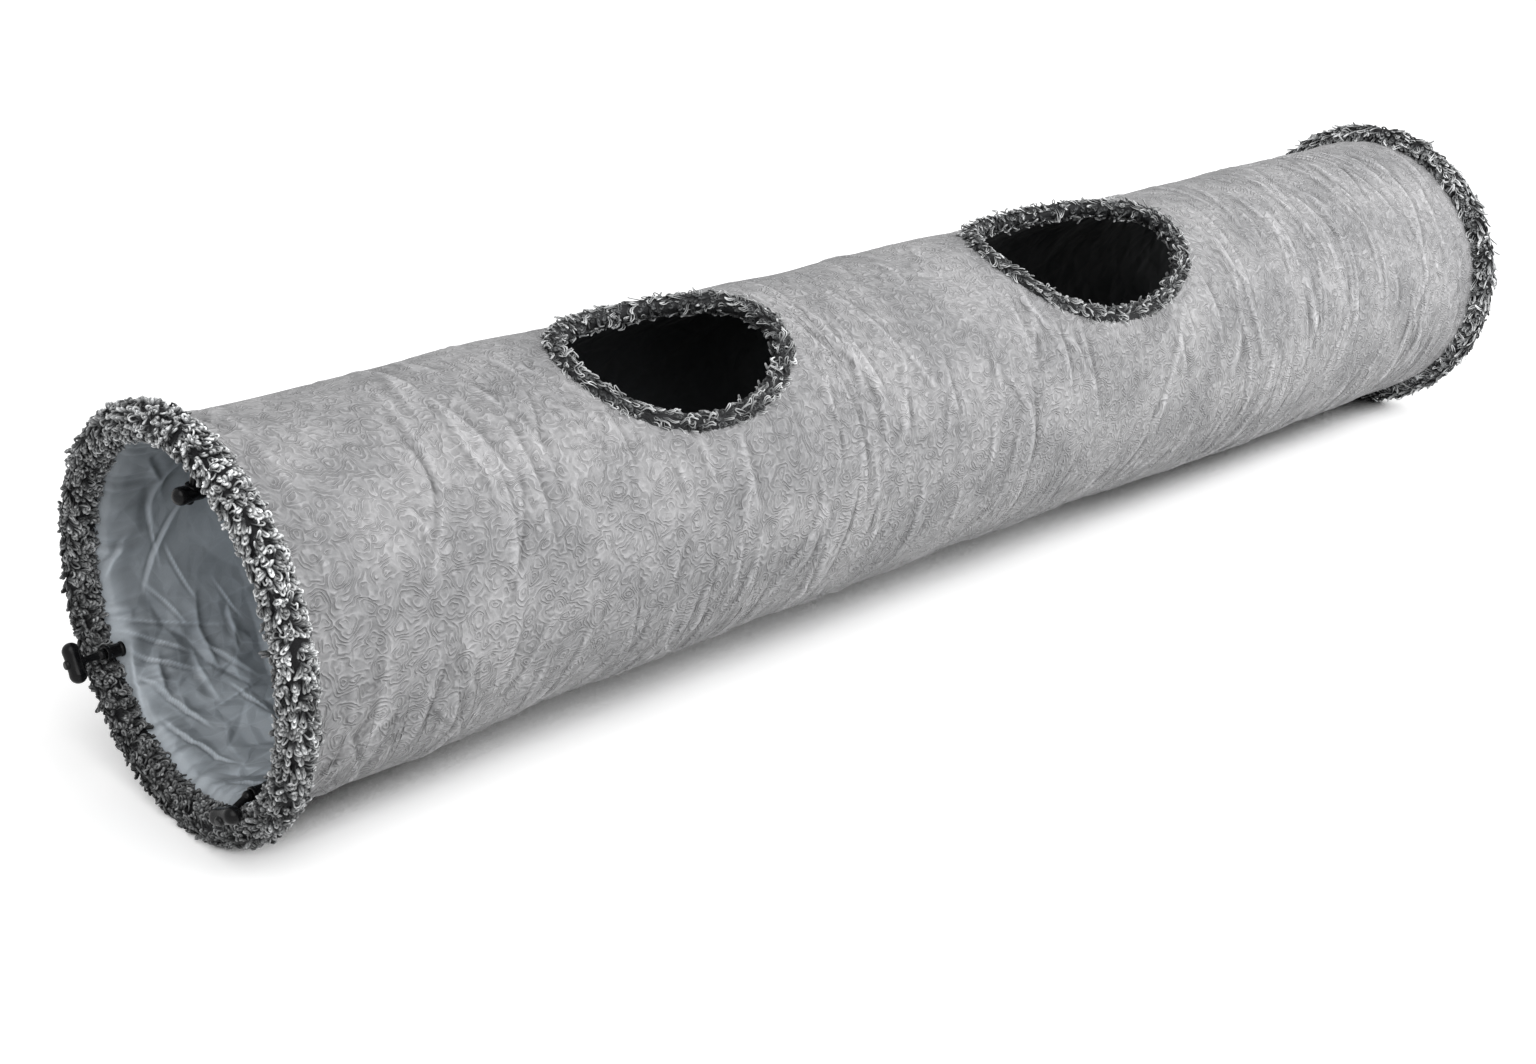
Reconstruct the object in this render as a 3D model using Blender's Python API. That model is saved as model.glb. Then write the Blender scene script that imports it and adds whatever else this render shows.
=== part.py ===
"""Collapsible plush play tunnel with two peek holes, modelled in metres.

+X runs along the tunnel from the toggle end to the loop end, +Z is up, and the origin is on the
floor under the middle of the near rim. The near rim is the one with the toggles.
"""
from math import asin, cos, pi, radians, sin

import bmesh
import bpy
from mathutils import Matrix, Vector

# Driving sizes, in metres.
RIM_SPACING = 1.278          # between the middles of the two rims
COVER_RADIUS = 0.120         # outer face of the plush cover
COVER_THICKNESS = 0.0015
LINING_THICKNESS = 0.001
WIRE_RADIUS = 0.00125        # spring steel of the coil and of both rim hoops
LAYER_GAP = 0.0005           # between the wire and each cloth
FIT_GAP = 0.0003             # between pieces that touch
MERGE_DISTANCE = 0.000001
CUT_OVERRUN = 0.02

# Rims: rolls of loop pile that wrap the cloth edges and a hoop.
RIM_ROLL_RADIUS = 0.011
RIM_PROUD = 0.003            # middle of the roll, outside the cover's face
RIM_SLOT_DEPTH = 0.004       # slot floor, beyond the middle of the roll
RIM_FLAT_DEPTH = 0.002       # pressed flat where the rim stands

# Peek holes, to the middle of their plush rolls.
HOLE_1_PLACE = 0.342         # along X
HOLE_1_HALF_LENGTH = 0.086
HOLE_1_HALF_WIDTH = 0.0645   # round the tube
HOLE_2_PLACE = 0.770
HOLE_2_HALF_LENGTH = 0.104
HOLE_2_HALF_WIDTH = 0.073
HOLE_CLOCK = radians(20)     # from straight up towards -Y
HOLE_ROLL_RADIUS = 0.0085
HOLE_ROLL_PROUD = 0.0013     # middle of the roll, outside the middle of the wall
HOLE_SLOT_DEPTH = 0.001
WIRE_CLEAR_OF_HOLE = 0.0095  # between a hole's roll and the turns beside it

# Toggles. A setback is from the middle of the rim out to the sleeve's open end.
SLEEVE_1_SETBACK = -0.006
SLEEVE_2_SETBACK = 0.0005
SLEEVE_3_SETBACK = 0.0045
SLEEVE_RADIUS = 0.0048
SLEEVE_LENGTH = 0.012
SEAT_DEPTH = 0.0015          # how far the stem's ball sits inside the sleeve
BALL_RADIUS = 0.0035
STEM_RADIUS = 0.0024
STEM_REACH = 0.018           # from the ball's middle to the bar's middle
HEAD_RADIUS = 0.0034
HEAD_LENGTH = 0.0022
BAR_RADIUS = 0.0055
BAR_LENGTH = 0.026

# Closing loops: elastic cord sewn inside the far rim, under a tab.
LOOP_CORD_RADIUS = 0.0015
LOOP_HALF_WIDTH = 0.006
LOOP_REACH = 0.028           # from the middle of the far rim to the end of the loop
LOOP_ROOT = 0.004            # from the middle of the far rim to the cord's ends
TAB_LENGTH = 0.010
TAB_MARGIN = 0.003
TAB_THICKNESS = 0.0015

# Mesh fineness.
ROUND_STEPS = 36
ROLL_STEPS = 12
SMALL_STEPS = 16
ARC_STEPS = 5
LOOP_STEPS = 10
SHARP_ANGLE = radians(40)

# Sizes that follow from those above.
PEEK_HOLES = (
    (HOLE_1_PLACE, HOLE_1_HALF_LENGTH, HOLE_1_HALF_WIDTH),
    (HOLE_2_PLACE, HOLE_2_HALF_LENGTH, HOLE_2_HALF_WIDTH),
)
COVER_INNER = COVER_RADIUS - COVER_THICKNESS
COIL_RADIUS = COVER_INNER - LAYER_GAP - WIRE_RADIUS
LINING_RADIUS = COIL_RADIUS - WIRE_RADIUS - LAYER_GAP
LINING_INNER = LINING_RADIUS - LINING_THICKNESS
WALL_MIDDLE = (COVER_RADIUS + LINING_INNER) / 2
FACET_SHARE = cos(pi / ROUND_STEPS)
RIM_RADIUS = COVER_RADIUS + RIM_PROUD
RIM_CLEAR = (RIM_RADIUS - RIM_ROLL_RADIUS) * FACET_SHARE
AXIS_HEIGHT = RIM_RADIUS + RIM_ROLL_RADIUS - RIM_FLAT_DEPTH
HOOP_PLACE = FIT_GAP + WIRE_RADIUS - RIM_SLOT_DEPTH
COIL_START = HOOP_PLACE + 2 * WIRE_RADIUS + FIT_GAP
BALL_SETBACK = SEAT_DEPTH - BALL_RADIUS
UNDER_RIM = RIM_CLEAR - FIT_GAP - SLEEVE_RADIUS
UNDER_LINING = LINING_INNER * FACET_SHARE - FIT_GAP - SLEEVE_RADIUS
# Each toggle's pivot (clock angle from straight up towards -Y, place, radius), its lean into
# the mouth and the turn of its bar.
TOGGLES = (
    ((radians(12), BALL_SETBACK - SLEEVE_1_SETBACK, UNDER_LINING), radians(80), radians(-72)),
    ((radians(141), BALL_SETBACK - SLEEVE_2_SETBACK, UNDER_RIM), radians(-20), radians(15)),
    ((radians(241), BALL_SETBACK - SLEEVE_3_SETBACK, UNDER_RIM), 0.0, 0.0),
)
LOOP_RADIUS = RIM_CLEAR - FIT_GAP - LOOP_CORD_RADIUS


def clear_scene():
    """Remove the objects that a new scene starts with."""
    for item in list(bpy.data.objects):
        bpy.data.objects.remove(item)


def make_material(name, colour, roughness, metallic=0.0):
    """A Principled material of one plain colour."""
    material = bpy.data.materials.new(name)
    material.use_nodes = True
    shader = material.node_tree.nodes["Principled BSDF"]
    shader.inputs["Base Color"].default_value = (*colour, 1.0)
    shader.inputs["Roughness"].default_value = roughness
    shader.inputs["Metallic"].default_value = metallic
    return material


def add_object(name, data, material):
    """Link a mesh or curve to the scene under the node's name, on the tunnel's empty."""
    item = bpy.data.objects.new(name, data)
    bpy.context.scene.collection.objects.link(item)
    item.data.materials.append(material)
    item.parent = bpy.data.objects["tunnel"]
    return item


def finish_mesh(name, form, material):
    """Turn a bmesh into a smooth shaded object with its faces pointing out."""
    mesh = bpy.data.meshes.new(name)
    bmesh.ops.remove_doubles(form, verts=form.verts, dist=MERGE_DISTANCE)
    bmesh.ops.recalc_face_normals(form, faces=form.faces)
    form.to_mesh(mesh)
    form.free()
    mesh.shade_smooth()
    mesh.set_sharp_from_angle(angle=SHARP_ANGLE)
    return add_object(name, mesh, material)


def skin(name, rows, material, closed_rows=True):
    """A closed solid skinned round a ring of rows; open rows start and end on an axis."""
    form = bmesh.new()
    rings = [[form.verts.new(point) for point in row] for row in rows]
    count = len(rows[0])
    for here, there in zip(rings, rings[1:] + rings[:1]):
        for j in range(count if closed_rows else count - 1):
            k = (j + 1) % count
            form.faces.new((here[j], there[j], there[k], here[k]))
    return finish_mesh(name, form, material)


def make_box(name, low, high, material):
    """A box between two corners."""
    form = bmesh.new()
    bmesh.ops.create_cube(form, size=1.0)
    low, high = Vector(low), Vector(high)
    bmesh.ops.scale(form, vec=high - low, verts=form.verts)
    bmesh.ops.translate(form, vec=(low + high) / 2, verts=form.verts)
    return finish_mesh(name, form, material)


def make_tube(name, points, radius, material, cyclic=False):
    """A round cord or wire through the points."""
    curve = bpy.data.curves.new(name, "CURVE")
    curve.dimensions = "3D"
    curve.bevel_depth = radius
    curve.bevel_resolution = 1
    curve.use_fill_caps = True
    spline = curve.splines.new("POLY")
    spline.points.add(len(points) - 1)
    for target, point in zip(spline.points, points):
        target.co = (*point, 1.0)
    spline.use_cyclic_u = cyclic
    return add_object(name, curve, material)


def cut(target, cutter):
    """Cut one object with another, which stays as a guide."""
    cutter.hide_render = True
    cutter.display_type = "WIRE"
    modifier = target.modifiers.new(cutter.name, "BOOLEAN")
    modifier.operation = "DIFFERENCE"
    modifier.solver = "EXACT"
    modifier.object = cutter


def circle_steps(count):
    """Angles evenly round a full turn."""
    return [2 * pi * i / count for i in range(count)]


def arc(middle, radius, start, end, steps):
    """Points along an arc in a section."""
    angles = [start + (end - start) * i / steps for i in range(steps + 1)]
    return [(middle[0] + radius * cos(a), middle[1] + radius * sin(a)) for a in angles]


def in_tunnel(clock, place, radius):
    """The point at a clock angle, a place along X and a distance from the tunnel's axis."""
    return Vector((place, -radius * sin(clock), AXIS_HEIGHT + radius * cos(clock)))


def turn_round_tunnel(name, section, material):
    """Turn a closed section of (place, radius) points about the tunnel's axis."""
    rows = [[in_tunnel(clock, *point) for point in section] for clock in circle_steps(ROUND_STEPS)]
    return skin(name, rows, material)


def turn_round_x(name, section, material):
    """Turn a section of (place, radius) points, which ends on the axis, about the local X axis."""
    rows = [[(x, r * cos(a), r * sin(a)) for x, r in section] for a in circle_steps(SMALL_STEPS)]
    return skin(name, rows, material, closed_rows=False)


def slotted_roll(radius, slot_low, slot_high, slot_depth):
    """The section of a roll about its middle, with a slot that opens towards +X."""
    start, end = asin(slot_high / radius), 2 * pi + asin(slot_low / radius)
    section = arc((0, 0), radius, start, end, ROLL_STEPS)
    return section + [(-slot_depth, slot_low), (-slot_depth, slot_high)]


def make_rims(plush, steel):
    """Both plush rims, flat where they stand, each round a steel hoop."""
    slot_low = LINING_INNER - FIT_GAP - RIM_RADIUS
    slot_high = COVER_RADIUS + FIT_GAP - RIM_RADIUS
    roll = slotted_roll(RIM_ROLL_RADIUS, slot_low, slot_high, RIM_SLOT_DEPTH)
    reach = COVER_RADIUS + CUT_OVERRUN
    low = (-reach, -reach, -CUT_OVERRUN)
    floor = make_box("floor_cutter", low, (RIM_SPACING + reach, reach, 0), plush)
    for end, start, inward in (("near", 0, 1), ("far", RIM_SPACING, -1)):
        section = [(start + inward * x, RIM_RADIUS + r) for x, r in roll]
        cut(turn_round_tunnel(f"{end}_rim_binding", section, plush), floor)
        place = start + inward * HOOP_PLACE
        hoop = [in_tunnel(clock, place, COIL_RADIUS) for clock in circle_steps(ROUND_STEPS)]
        make_tube(f"{end}_rim_hoop", hoop, WIRE_RADIUS, steel, cyclic=True)


def bay_edges():
    """Places along X where one bay of cloth ends and the next begins."""
    edges = [FIT_GAP / 2 - RIM_SLOT_DEPTH]
    for place, half_length, _ in PEEK_HOLES:
        reach = half_length + HOLE_ROLL_RADIUS + WIRE_CLEAR_OF_HOLE
        edges += [place - reach, place + reach]
    edges.append((edges[-1] + RIM_SPACING) / 2)
    return edges + [RIM_SPACING - edges[0]]


def make_coil(steel):
    """One spring wire, whose turns cross the line of the holes only between the bays."""
    places = [COIL_START] + bay_edges()[1:-1] + [RIM_SPACING - COIL_START]
    points = []
    for turn, (start, end) in enumerate(zip(places, places[1:])):
        for step in range(ROUND_STEPS):
            share = step / ROUND_STEPS
            clock = HOLE_CLOCK + 2 * pi * share
            points.append(in_tunnel(clock, start + (end - start) * share, COIL_RADIUS))
    points.append(in_tunnel(HOLE_CLOCK, places[-1], COIL_RADIUS))
    make_tube("spring_coil", points, WIRE_RADIUS, steel)


def hole_point(hole, around, outward, radius):
    """A point beside a hole's edge: its angle round the hole, then outward along the wall."""
    place, half_length, half_width = hole
    away = Vector((cos(around) / half_length, sin(around) / half_width)).normalized()
    width = half_width * sin(around) + outward * away[1]
    length = half_length * cos(around) + outward * away[0]
    return in_tunnel(HOLE_CLOCK + width / WALL_MIDDLE, place + length, radius)


def make_hole_cutter(number, hole, material):
    """The solid that cuts a peek hole through both cloths."""
    low, high = LINING_INNER - CUT_OVERRUN, COVER_RADIUS + CUT_OVERRUN
    radii = (low, LINING_INNER * FACET_SHARE - FIT_GAP, COVER_RADIUS + FIT_GAP, high)
    low_end, high_end = [in_tunnel(HOLE_CLOCK, hole[0], radius) for radius in (low, high)]
    rows = []
    for around in circle_steps(ROUND_STEPS):
        edge = [hole_point(hole, around, FIT_GAP - HOLE_SLOT_DEPTH, radius) for radius in radii]
        rows.append([low_end, *edge, high_end])
    return skin(f"hole_cutter_{number}", rows, material, closed_rows=False)


def make_hole_binding(number, hole, material):
    """The plush roll round a peek hole, slotted for the edges of both cloths."""
    middle = WALL_MIDDLE + HOLE_ROLL_PROUD
    slot_low = LINING_INNER * FACET_SHARE - FIT_GAP - middle
    slot_high = COVER_RADIUS + 2 * FIT_GAP - middle
    roll = slotted_roll(HOLE_ROLL_RADIUS, slot_low, slot_high, HOLE_SLOT_DEPTH)
    rows = []
    for around in circle_steps(ROUND_STEPS):
        rows.append([hole_point(hole, around, out, middle + up) for out, up in roll])
    skin(f"hole_binding_{number}", rows, material)


def make_bays(cover, lining, plush):
    """The cover and the lining in bays, with the peek holes and their bindings."""
    edges = bay_edges()
    cutters = {}
    for number, hole in enumerate(PEEK_HOLES, 1):
        make_hole_binding(number, hole, plush)
        cutters[2 * number] = make_hole_cutter(number, hole, plush)
    layers = (("cover", COVER_INNER, COVER_RADIUS, cover),
              ("lining", LINING_INNER, LINING_RADIUS, lining))
    for bay, (start, end) in enumerate(zip(edges, edges[1:]), 1):
        near, far = start + FIT_GAP / 2, end - FIT_GAP / 2
        for name, inner, outer, material in layers:
            section = [(near, inner), (far, inner), (far, outer), (near, outer)]
            wall = turn_round_tunnel(f"{name}_bay_{bay}", section, material)
            if bay in cutters:
                cut(wall, cutters[bay])


def toggle_frames(pivot, lean, turn):
    """Frames of a toggle's sleeve, stem and bar; local Z points away from the tunnel's axis."""
    sleeve = Matrix.Translation(in_tunnel(*pivot)) @ Matrix.Rotation(pivot[0], 4, "X")
    stem = sleeve @ Matrix.Rotation(-lean, 4, "Y")
    bar = stem @ Matrix.Translation((-STEM_REACH, 0, 0)) @ Matrix.Rotation(turn, 4, "X")
    return sleeve, stem, bar


def make_sleeve(number, material):
    """The moulded sleeve on the rim, with a seat for the stem's ball at its open end."""
    seat_radius = BALL_RADIUS + FIT_GAP
    mouth = BALL_RADIUS - SEAT_DEPTH
    mouth_angle = pi / 2 - asin(mouth / seat_radius)
    seat = arc((0, 0), seat_radius, 0, mouth_angle, ARC_STEPS)
    back = mouth + SLEEVE_LENGTH
    section = seat + [(mouth, SLEEVE_RADIUS), (back, SLEEVE_RADIUS), (back, 0)]
    return turn_round_x(f"toggle_sleeve_{number}", section, material)


def make_stem(number, material):
    """The stem, with a ball at its root and a head that holds the bar."""
    tip, neck = STEM_REACH + HEAD_LENGTH / 2, STEM_REACH - HEAD_LENGTH / 2
    head = [(-tip, 0), (-tip, HEAD_RADIUS), (-neck, HEAD_RADIUS), (-neck, STEM_RADIUS)]
    ball = arc((0, 0), BALL_RADIUS, pi - asin(STEM_RADIUS / BALL_RADIUS), 0, ARC_STEPS)
    return turn_round_x(f"toggle_stem_{number}", head + ball, material)


def make_bar(number, material):
    """The round-ended bar, with a keyhole that turns on the stem's head."""
    half = BAR_LENGTH / 2 - BAR_RADIUS
    section = arc((-half, 0), BAR_RADIUS, pi, pi / 2, ARC_STEPS)
    section += arc((half, 0), BAR_RADIUS, pi / 2, 0, ARC_STEPS)
    bar = turn_round_x(f"toggle_bar_{number}", section, material)
    bar.data.transform(Matrix.Rotation(pi / 2, 4, "Z"))
    depth, mouth = HEAD_LENGTH / 2 + FIT_GAP, BAR_RADIUS + CUT_OVERRUN
    wide, narrow = HEAD_RADIUS + FIT_GAP, STEM_RADIUS + FIT_GAP
    keyhole = [(-depth, 0), (-depth, wide), (depth, wide), (depth, narrow), (mouth, narrow), (mouth, 0)]
    cutter = turn_round_x(f"keyhole_cutter_{number}", keyhole, material)
    cut(bar, cutter)
    return bar, cutter


def make_toggles(material):
    """The three toggles inside the near rim, each with its origin where it pivots."""
    for number, toggle in enumerate(TOGGLES, 1):
        sleeve_frame, stem_frame, bar_frame = toggle_frames(*toggle)
        make_sleeve(number, material).matrix_world = sleeve_frame
        make_stem(number, material).matrix_world = stem_frame
        for item in make_bar(number, material):
            item.matrix_world = bar_frame


def make_closing_loops(elastic, tape):
    """Elastic loops sewn under tabs inside the far rim, in line with the toggles."""
    straight = LOOP_REACH - LOOP_HALF_WIDTH
    bend = arc((-straight, 0), LOOP_HALF_WIDTH, pi / 2, 3 * pi / 2, LOOP_STEPS)
    route = [(LOOP_ROOT, LOOP_HALF_WIDTH)] + bend + [(LOOP_ROOT, -LOOP_HALF_WIDTH)]
    top = -LOOP_CORD_RADIUS - FIT_GAP
    half_width = LOOP_HALF_WIDTH + TAB_MARGIN
    low = (-TAB_LENGTH / 2, -half_width, top - TAB_THICKNESS)
    high = (TAB_LENGTH / 2, half_width, top)
    for number, ((clock, _, _), _, _) in enumerate(TOGGLES, 1):
        frame = Matrix.Translation(in_tunnel(clock, RIM_SPACING, LOOP_RADIUS))
        frame @= Matrix.Rotation(clock, 4, "X")
        points = [(x, y, 0.0) for x, y in route]
        loop = make_tube(f"closing_loop_{number}", points, LOOP_CORD_RADIUS, elastic)
        loop.matrix_world = frame
        make_box(f"loop_tab_{number}", low, high, tape).matrix_world = frame


def main():
    """Build the whole tunnel."""
    clear_scene()
    root = bpy.data.objects.new("tunnel", None)
    bpy.context.scene.collection.objects.link(root)
    cover = make_material("cover", (0.40, 0.40, 0.405), 0.9)
    plush = make_material("plush", (0.075, 0.08, 0.085), 0.95)
    lining = make_material("lining", (0.23, 0.255, 0.285), 0.45)
    steel = make_material("spring_steel", (0.45, 0.46, 0.48), 0.35, 1.0)
    moulding = make_material("toggle_plastic", (0.012, 0.012, 0.013), 0.25)
    elastic = make_material("elastic", (0.015, 0.015, 0.016), 0.8)
    tape = make_material("tape", (0.03, 0.03, 0.033), 0.85)
    make_rims(plush, steel)
    make_bays(cover, lining, plush)
    make_coil(steel)
    make_toggles(moulding)
    make_closing_loops(elastic, tape)


main()
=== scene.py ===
import math

import bpy
import numpy as np
from mathutils import Matrix, Vector


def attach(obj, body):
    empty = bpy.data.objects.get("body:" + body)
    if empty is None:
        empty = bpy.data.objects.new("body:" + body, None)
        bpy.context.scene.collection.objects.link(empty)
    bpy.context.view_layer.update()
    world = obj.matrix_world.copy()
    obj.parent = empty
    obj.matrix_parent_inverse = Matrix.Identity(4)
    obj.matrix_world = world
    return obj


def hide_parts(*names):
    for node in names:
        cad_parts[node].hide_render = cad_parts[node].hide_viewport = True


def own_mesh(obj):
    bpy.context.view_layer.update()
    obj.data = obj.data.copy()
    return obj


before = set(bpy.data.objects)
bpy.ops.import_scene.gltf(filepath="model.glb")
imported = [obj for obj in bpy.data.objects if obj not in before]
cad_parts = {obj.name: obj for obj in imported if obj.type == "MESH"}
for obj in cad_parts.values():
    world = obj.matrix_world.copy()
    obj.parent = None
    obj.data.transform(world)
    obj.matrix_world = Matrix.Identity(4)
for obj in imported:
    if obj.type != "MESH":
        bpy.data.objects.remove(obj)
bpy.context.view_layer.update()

# Sizes of the tunnel in metres, as in the part's source.
RIM_SPACING = 1.278
AXIS_HEIGHT = 0.132
COVER_RADIUS = 0.120
LINING_INNER = 0.114
WALL_MIDDLE = 0.117
COIL_RADIUS = 0.11675
WIRE_RADIUS = 0.00125
COIL_START = 0.00035
COIL_CLOCK = math.radians(20)
TURN_PLACES = (COIL_START, 0.238, 0.446, 0.648, 0.892, 1.085, RIM_SPACING - COIL_START)
RIM_RADIUS = 0.123
HOLE_CLOCK = math.radians(20)
HOLE_RING_RADIUS = 0.1183
HOLES = ((0.342, 0.086, 0.0645), (0.770, 0.104, 0.073))    # place, half length, half width
UNDER_RIM = 0.10647
UNDER_LINING = 0.10847
# Each toggle's pivot (clock angle, place, radius), its lean into the mouth and the turn of its bar.
TOGGLES = (
    ((math.radians(12), 0.004, UNDER_LINING), math.radians(80), math.radians(-72)),
    ((math.radians(141), -0.0025, UNDER_RIM), math.radians(-20), math.radians(15)),
    ((math.radians(241), -0.0065, UNDER_RIM), 0.0, 0.0),
)
SLEEVE_RADIUS = 0.0048
SLEEVE_MOUTH = 0.002
SLEEVE_BACK = 0.014
SEAT_RADIUS = 0.0038
BALL_RADIUS = 0.0035
STEM_RADIUS = 0.0024
STEM_REACH = 0.018
BAR_RADIUS = 0.0055
BAR_LENGTH = 0.026
LOOP_RADIUS = 0.10977
LOOP_CORD_RADIUS = 0.0015
LOOP_HALF_WIDTH = 0.006
LOOP_REACH = 0.028
LOOP_ROOT = 0.004
TAB_LENGTH = 0.010
TAB_HALF_WIDTH = 0.009
TAB_TOP = -0.0018
TAB_THICKNESS = 0.0015
STITCH_ROW = 0.0034
STITCH_STEP = 0.0022
STITCH_LENGTH = 0.0016
THREAD_RADIUS = 0.0002

# Between its rims the soft tube hangs a little clear of the floor and draws in, from one pair of
# places along it to the other.
RAISED = 0.0038
DRAWN_IN = 0.0018
HANGS_FROM = (0.05, 0.28)
HANGS_TO = (0.74, 0.94)

# Cloth.
COVER_STEP = (0.0013, 0.0028)        # cell of the cover's mesh, along and around
COVER_END = 0.001                    # the cover ends inside the pile of the rims
LINING_STEP = 0.0013                 # cell of the lining's mesh, around
LINING_ROWS = ((0.001, 0.0010), (0.130, 0.0045), (1.210, 0.0026))    # and along, from a place on
# Cloth is painted lighter or darker by the slope of its folds, as if lit from one side; at this
# slope the painted shading is full.
STEEP = 0.35                         # slope of the cloth that counts as fully turned away
HOLE_EDGE = 0.0015                   # the cloth ends this far outside a hole's middle line
BAYS = 6                             # of either cloth in the solids
COVER_LIFT = (-0.0022, 0.0038)       # the most that folds take the cover in and out
LINING_LIFT = 0.012                  # the most that folds bring the lining in
COVER_SAG = 0.0013                   # between two turns of wire
LINING_SAG = 0.0022
WIRE_SHOWS = (0.0004, 0.020)         # how far the wire pushes the cover out, and the part of a turn
LINING_FLARE = 0.0045                # the lining widens this much towards a rim's hoop

# Random waves: how high, how many, how long and how often round the tunnel.
COVER_PATCHES = (1, 24, 0.16, 5)
COVER_RIPPLES = (0.0007, 30, 0.09, 6)
COVER_BILLOWS = (0.0011, 12, 0.13, 2)
COVER_RIDGES = (1.6, 26, 0.036, 4, 0.4)
COVER_GATHERS = (0.0010, 14, 0.2, 60)
LINING_PATCHES = (1, 20, 0.22, 3)
LINING_SHIFT = (0.006, 16, 0.08, 6)
LINING_TWIST = (0.05, 16, 0.08, 6)
LINING_VALLEYS = (0.0040, 10, 0.10, 5)
LINING_RIPPLES = (0.0010, 24, 0.12, 5)
LINING_GATHERS = (0.0026, 18, 0.30, 62)
RIDGE_HEIGHT = 0.0010
CRUMPLE_HEIGHT = 0.0090
CRUMPLES = 420

# Where the tunnel's lower part begins and where it is full, in degrees from the top.
CREASED_BELOW = (88, 128)
BILLOWS_BELOW = (75, 125)
CRUMPLED_BELOW = (95, 130)
LIT_BELOW = (60, 92)

# Creases: how many, and their lengths, widths and heights.
COVER_CREASES = (520, (0.06, 0.20), (0.0013, 0.0024), (0.0008, 0.0017))
FAINT_CREASES = (120, (0.04, 0.12), (0.0016, 0.0030), (0.0004, 0.0010))
LINING_CREASES = (260, (0.03, 0.11), (0.0016, 0.0030), (0.0010, 0.0024))
CREASE_SLANT = -0.10                 # from straight round the tunnel towards its far end
FORKED = 0.4                         # share of the creases that fork
# How creased the cover is everywhere, low down, at the holes' ends and at the far end, and how
# many faint creases lie anywhere.
ALL_OVER, LOW_DOWN, HOLE_ENDS, FAR_END, FAINTLY = 0.10, 0.85, 0.80, 0.35, 0.30
HOLE_REACH = 0.055                   # of the creases beside a hole
LINING_UPPER = 0.38                  # how crumpled the lining is in its upper part

# The ridge beside the near rim, where the cloth is drawn on.
SEAM_PLACE = 0.0350
SEAM_WANDER = (0.0030, 8, 0.3, 5)
SEAM_HEIGHT = 0.0013
SEAM_WIDTHS = (0.0014, 0.0040)       # of its sharp and its soft side

# How light the lining is painted: painted shade deep inside and under the tunnel's top, painted
# light farther from the mouths.
DARK_FROM_NEAR = (0.19, 0.32)        # where it falls into the dark, from the near mouth
DARK_FROM_FAR = (0.02, 0.12)
DEEP_SHADE = 0.05
LINING_LIGHT = (0.90, 1.33)           # at a mouth and farther in
LINING_LIGHT_SPAN = (0.02, 0.12)
UNDER_TOP = 0.74                     # and in the shade of the tunnel's top

# Long folds of the lining near the mouth: two ends (place, degrees round), width, height and bend.
LINING_FOLDS = (
    ((0.062, -76), (0.035, -101), 0.0036, 0.0042, 0.003),
    ((0.051, -90), (0.064, -109), 0.0022, 0.0026, 0.001),
    ((0.037, -72), (0.044, -95), 0.0024, 0.0018, -0.001),
    ((0.024, -83), (0.009, -96), 0.0050, 0.0040, 0.002),
    ((0.034, -102), (0.052, -117), 0.0022, 0.0026, -0.002),
    ((0.080, -106), (0.092, -120), 0.0020, 0.0020, 0.000),
    ((0.008, -108), (0.076, -120), 0.0026, 0.0022, 0.002),
    ((0.010, -114), (0.050, -127), 0.0030, 0.0030, -0.002),
    ((0.012, -120), (0.050, -132), 0.0028, 0.0040, 0.003),
    ((0.014, -120), (0.008, -143), 0.0030, 0.0040, 0.002),
    ((0.014, -131), (0.037, -153), 0.0028, 0.0042, -0.002),
    ((0.017, -148), (0.038, -173), 0.0030, 0.0042, 0.003),
    ((0.062, -126), (0.084, -140), 0.0026, 0.0036, 0.001),
    ((0.066, -143), (0.078, -162), 0.0026, 0.0036, -0.002),
    ((0.045, -148), (0.084, -143), 0.0026, 0.0036, 0.002),
    ((0.022, 176), (0.032, 164), 0.0030, 0.0036, 0.001),
)

# Pile.
RIM_CORE_RADIUS = 0.0094
HOLE_CORE_RADIUS = 0.0058
FLOOR_CLEARANCE = 0.0004
CORE_SIDES = 24
CORE_LUMPS = 0.05
ROOT_DEPTH = 0.0008                  # of the loops in the roll
AGAINST = 0.15                       # share of the loops that lie against the others
HUG = 0.8                            # how closely loops that lie round the roll follow it
THICK_LOOPS = {
    "step": 0.0033, "height": (0.0056, 0.0096), "spread": (0.0008, 0.0016),
    "yarn": (0.00064, 0.00092), "lean": (0.12, 0.55), "roll": 0.8, "comb": 0.9, "unruly": 0.75,
    "curl": 0.0016, "wave": 0.0008, "strands": (1.0, 0.4), "points": 9, "sides": 6,
    "tip": (0.0, 1.04), "power": 0.9, "shade": 0.36,
}
OPEN_LOOPS = dict(
    THICK_LOOPS, step=0.0062, height=(0.0064, 0.0104), spread=(0.0014, 0.0026), lean=(0.20, 0.50),
    yarn=(0.00050, 0.00070), strands=(1.0,), points=11, sides=5, tip=(0.10, 1.06))
DARK_LOOPS = dict(
    THICK_LOOPS, step=0.0040, height=(0.0068, 0.0104), spread=(0.0010, 0.0022), lean=(0.06, 0.40),
    yarn=(0.00060, 0.00086), roll=0.7, unruly=0.50, curl=0.0008, wave=0.0006, strands=(1.0, 0.35),
    points=8, tip=(-0.10, 0.84))
SHORT_LOOPS = dict(
    DARK_LOOPS, step=0.0034, height=(0.0050, 0.0080), spread=(0.0008, 0.0018), lean=(0.02, 0.32),
    yarn=(0.00060, 0.00085), curl=0.0005, tip=(0.0, 0.60))
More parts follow.
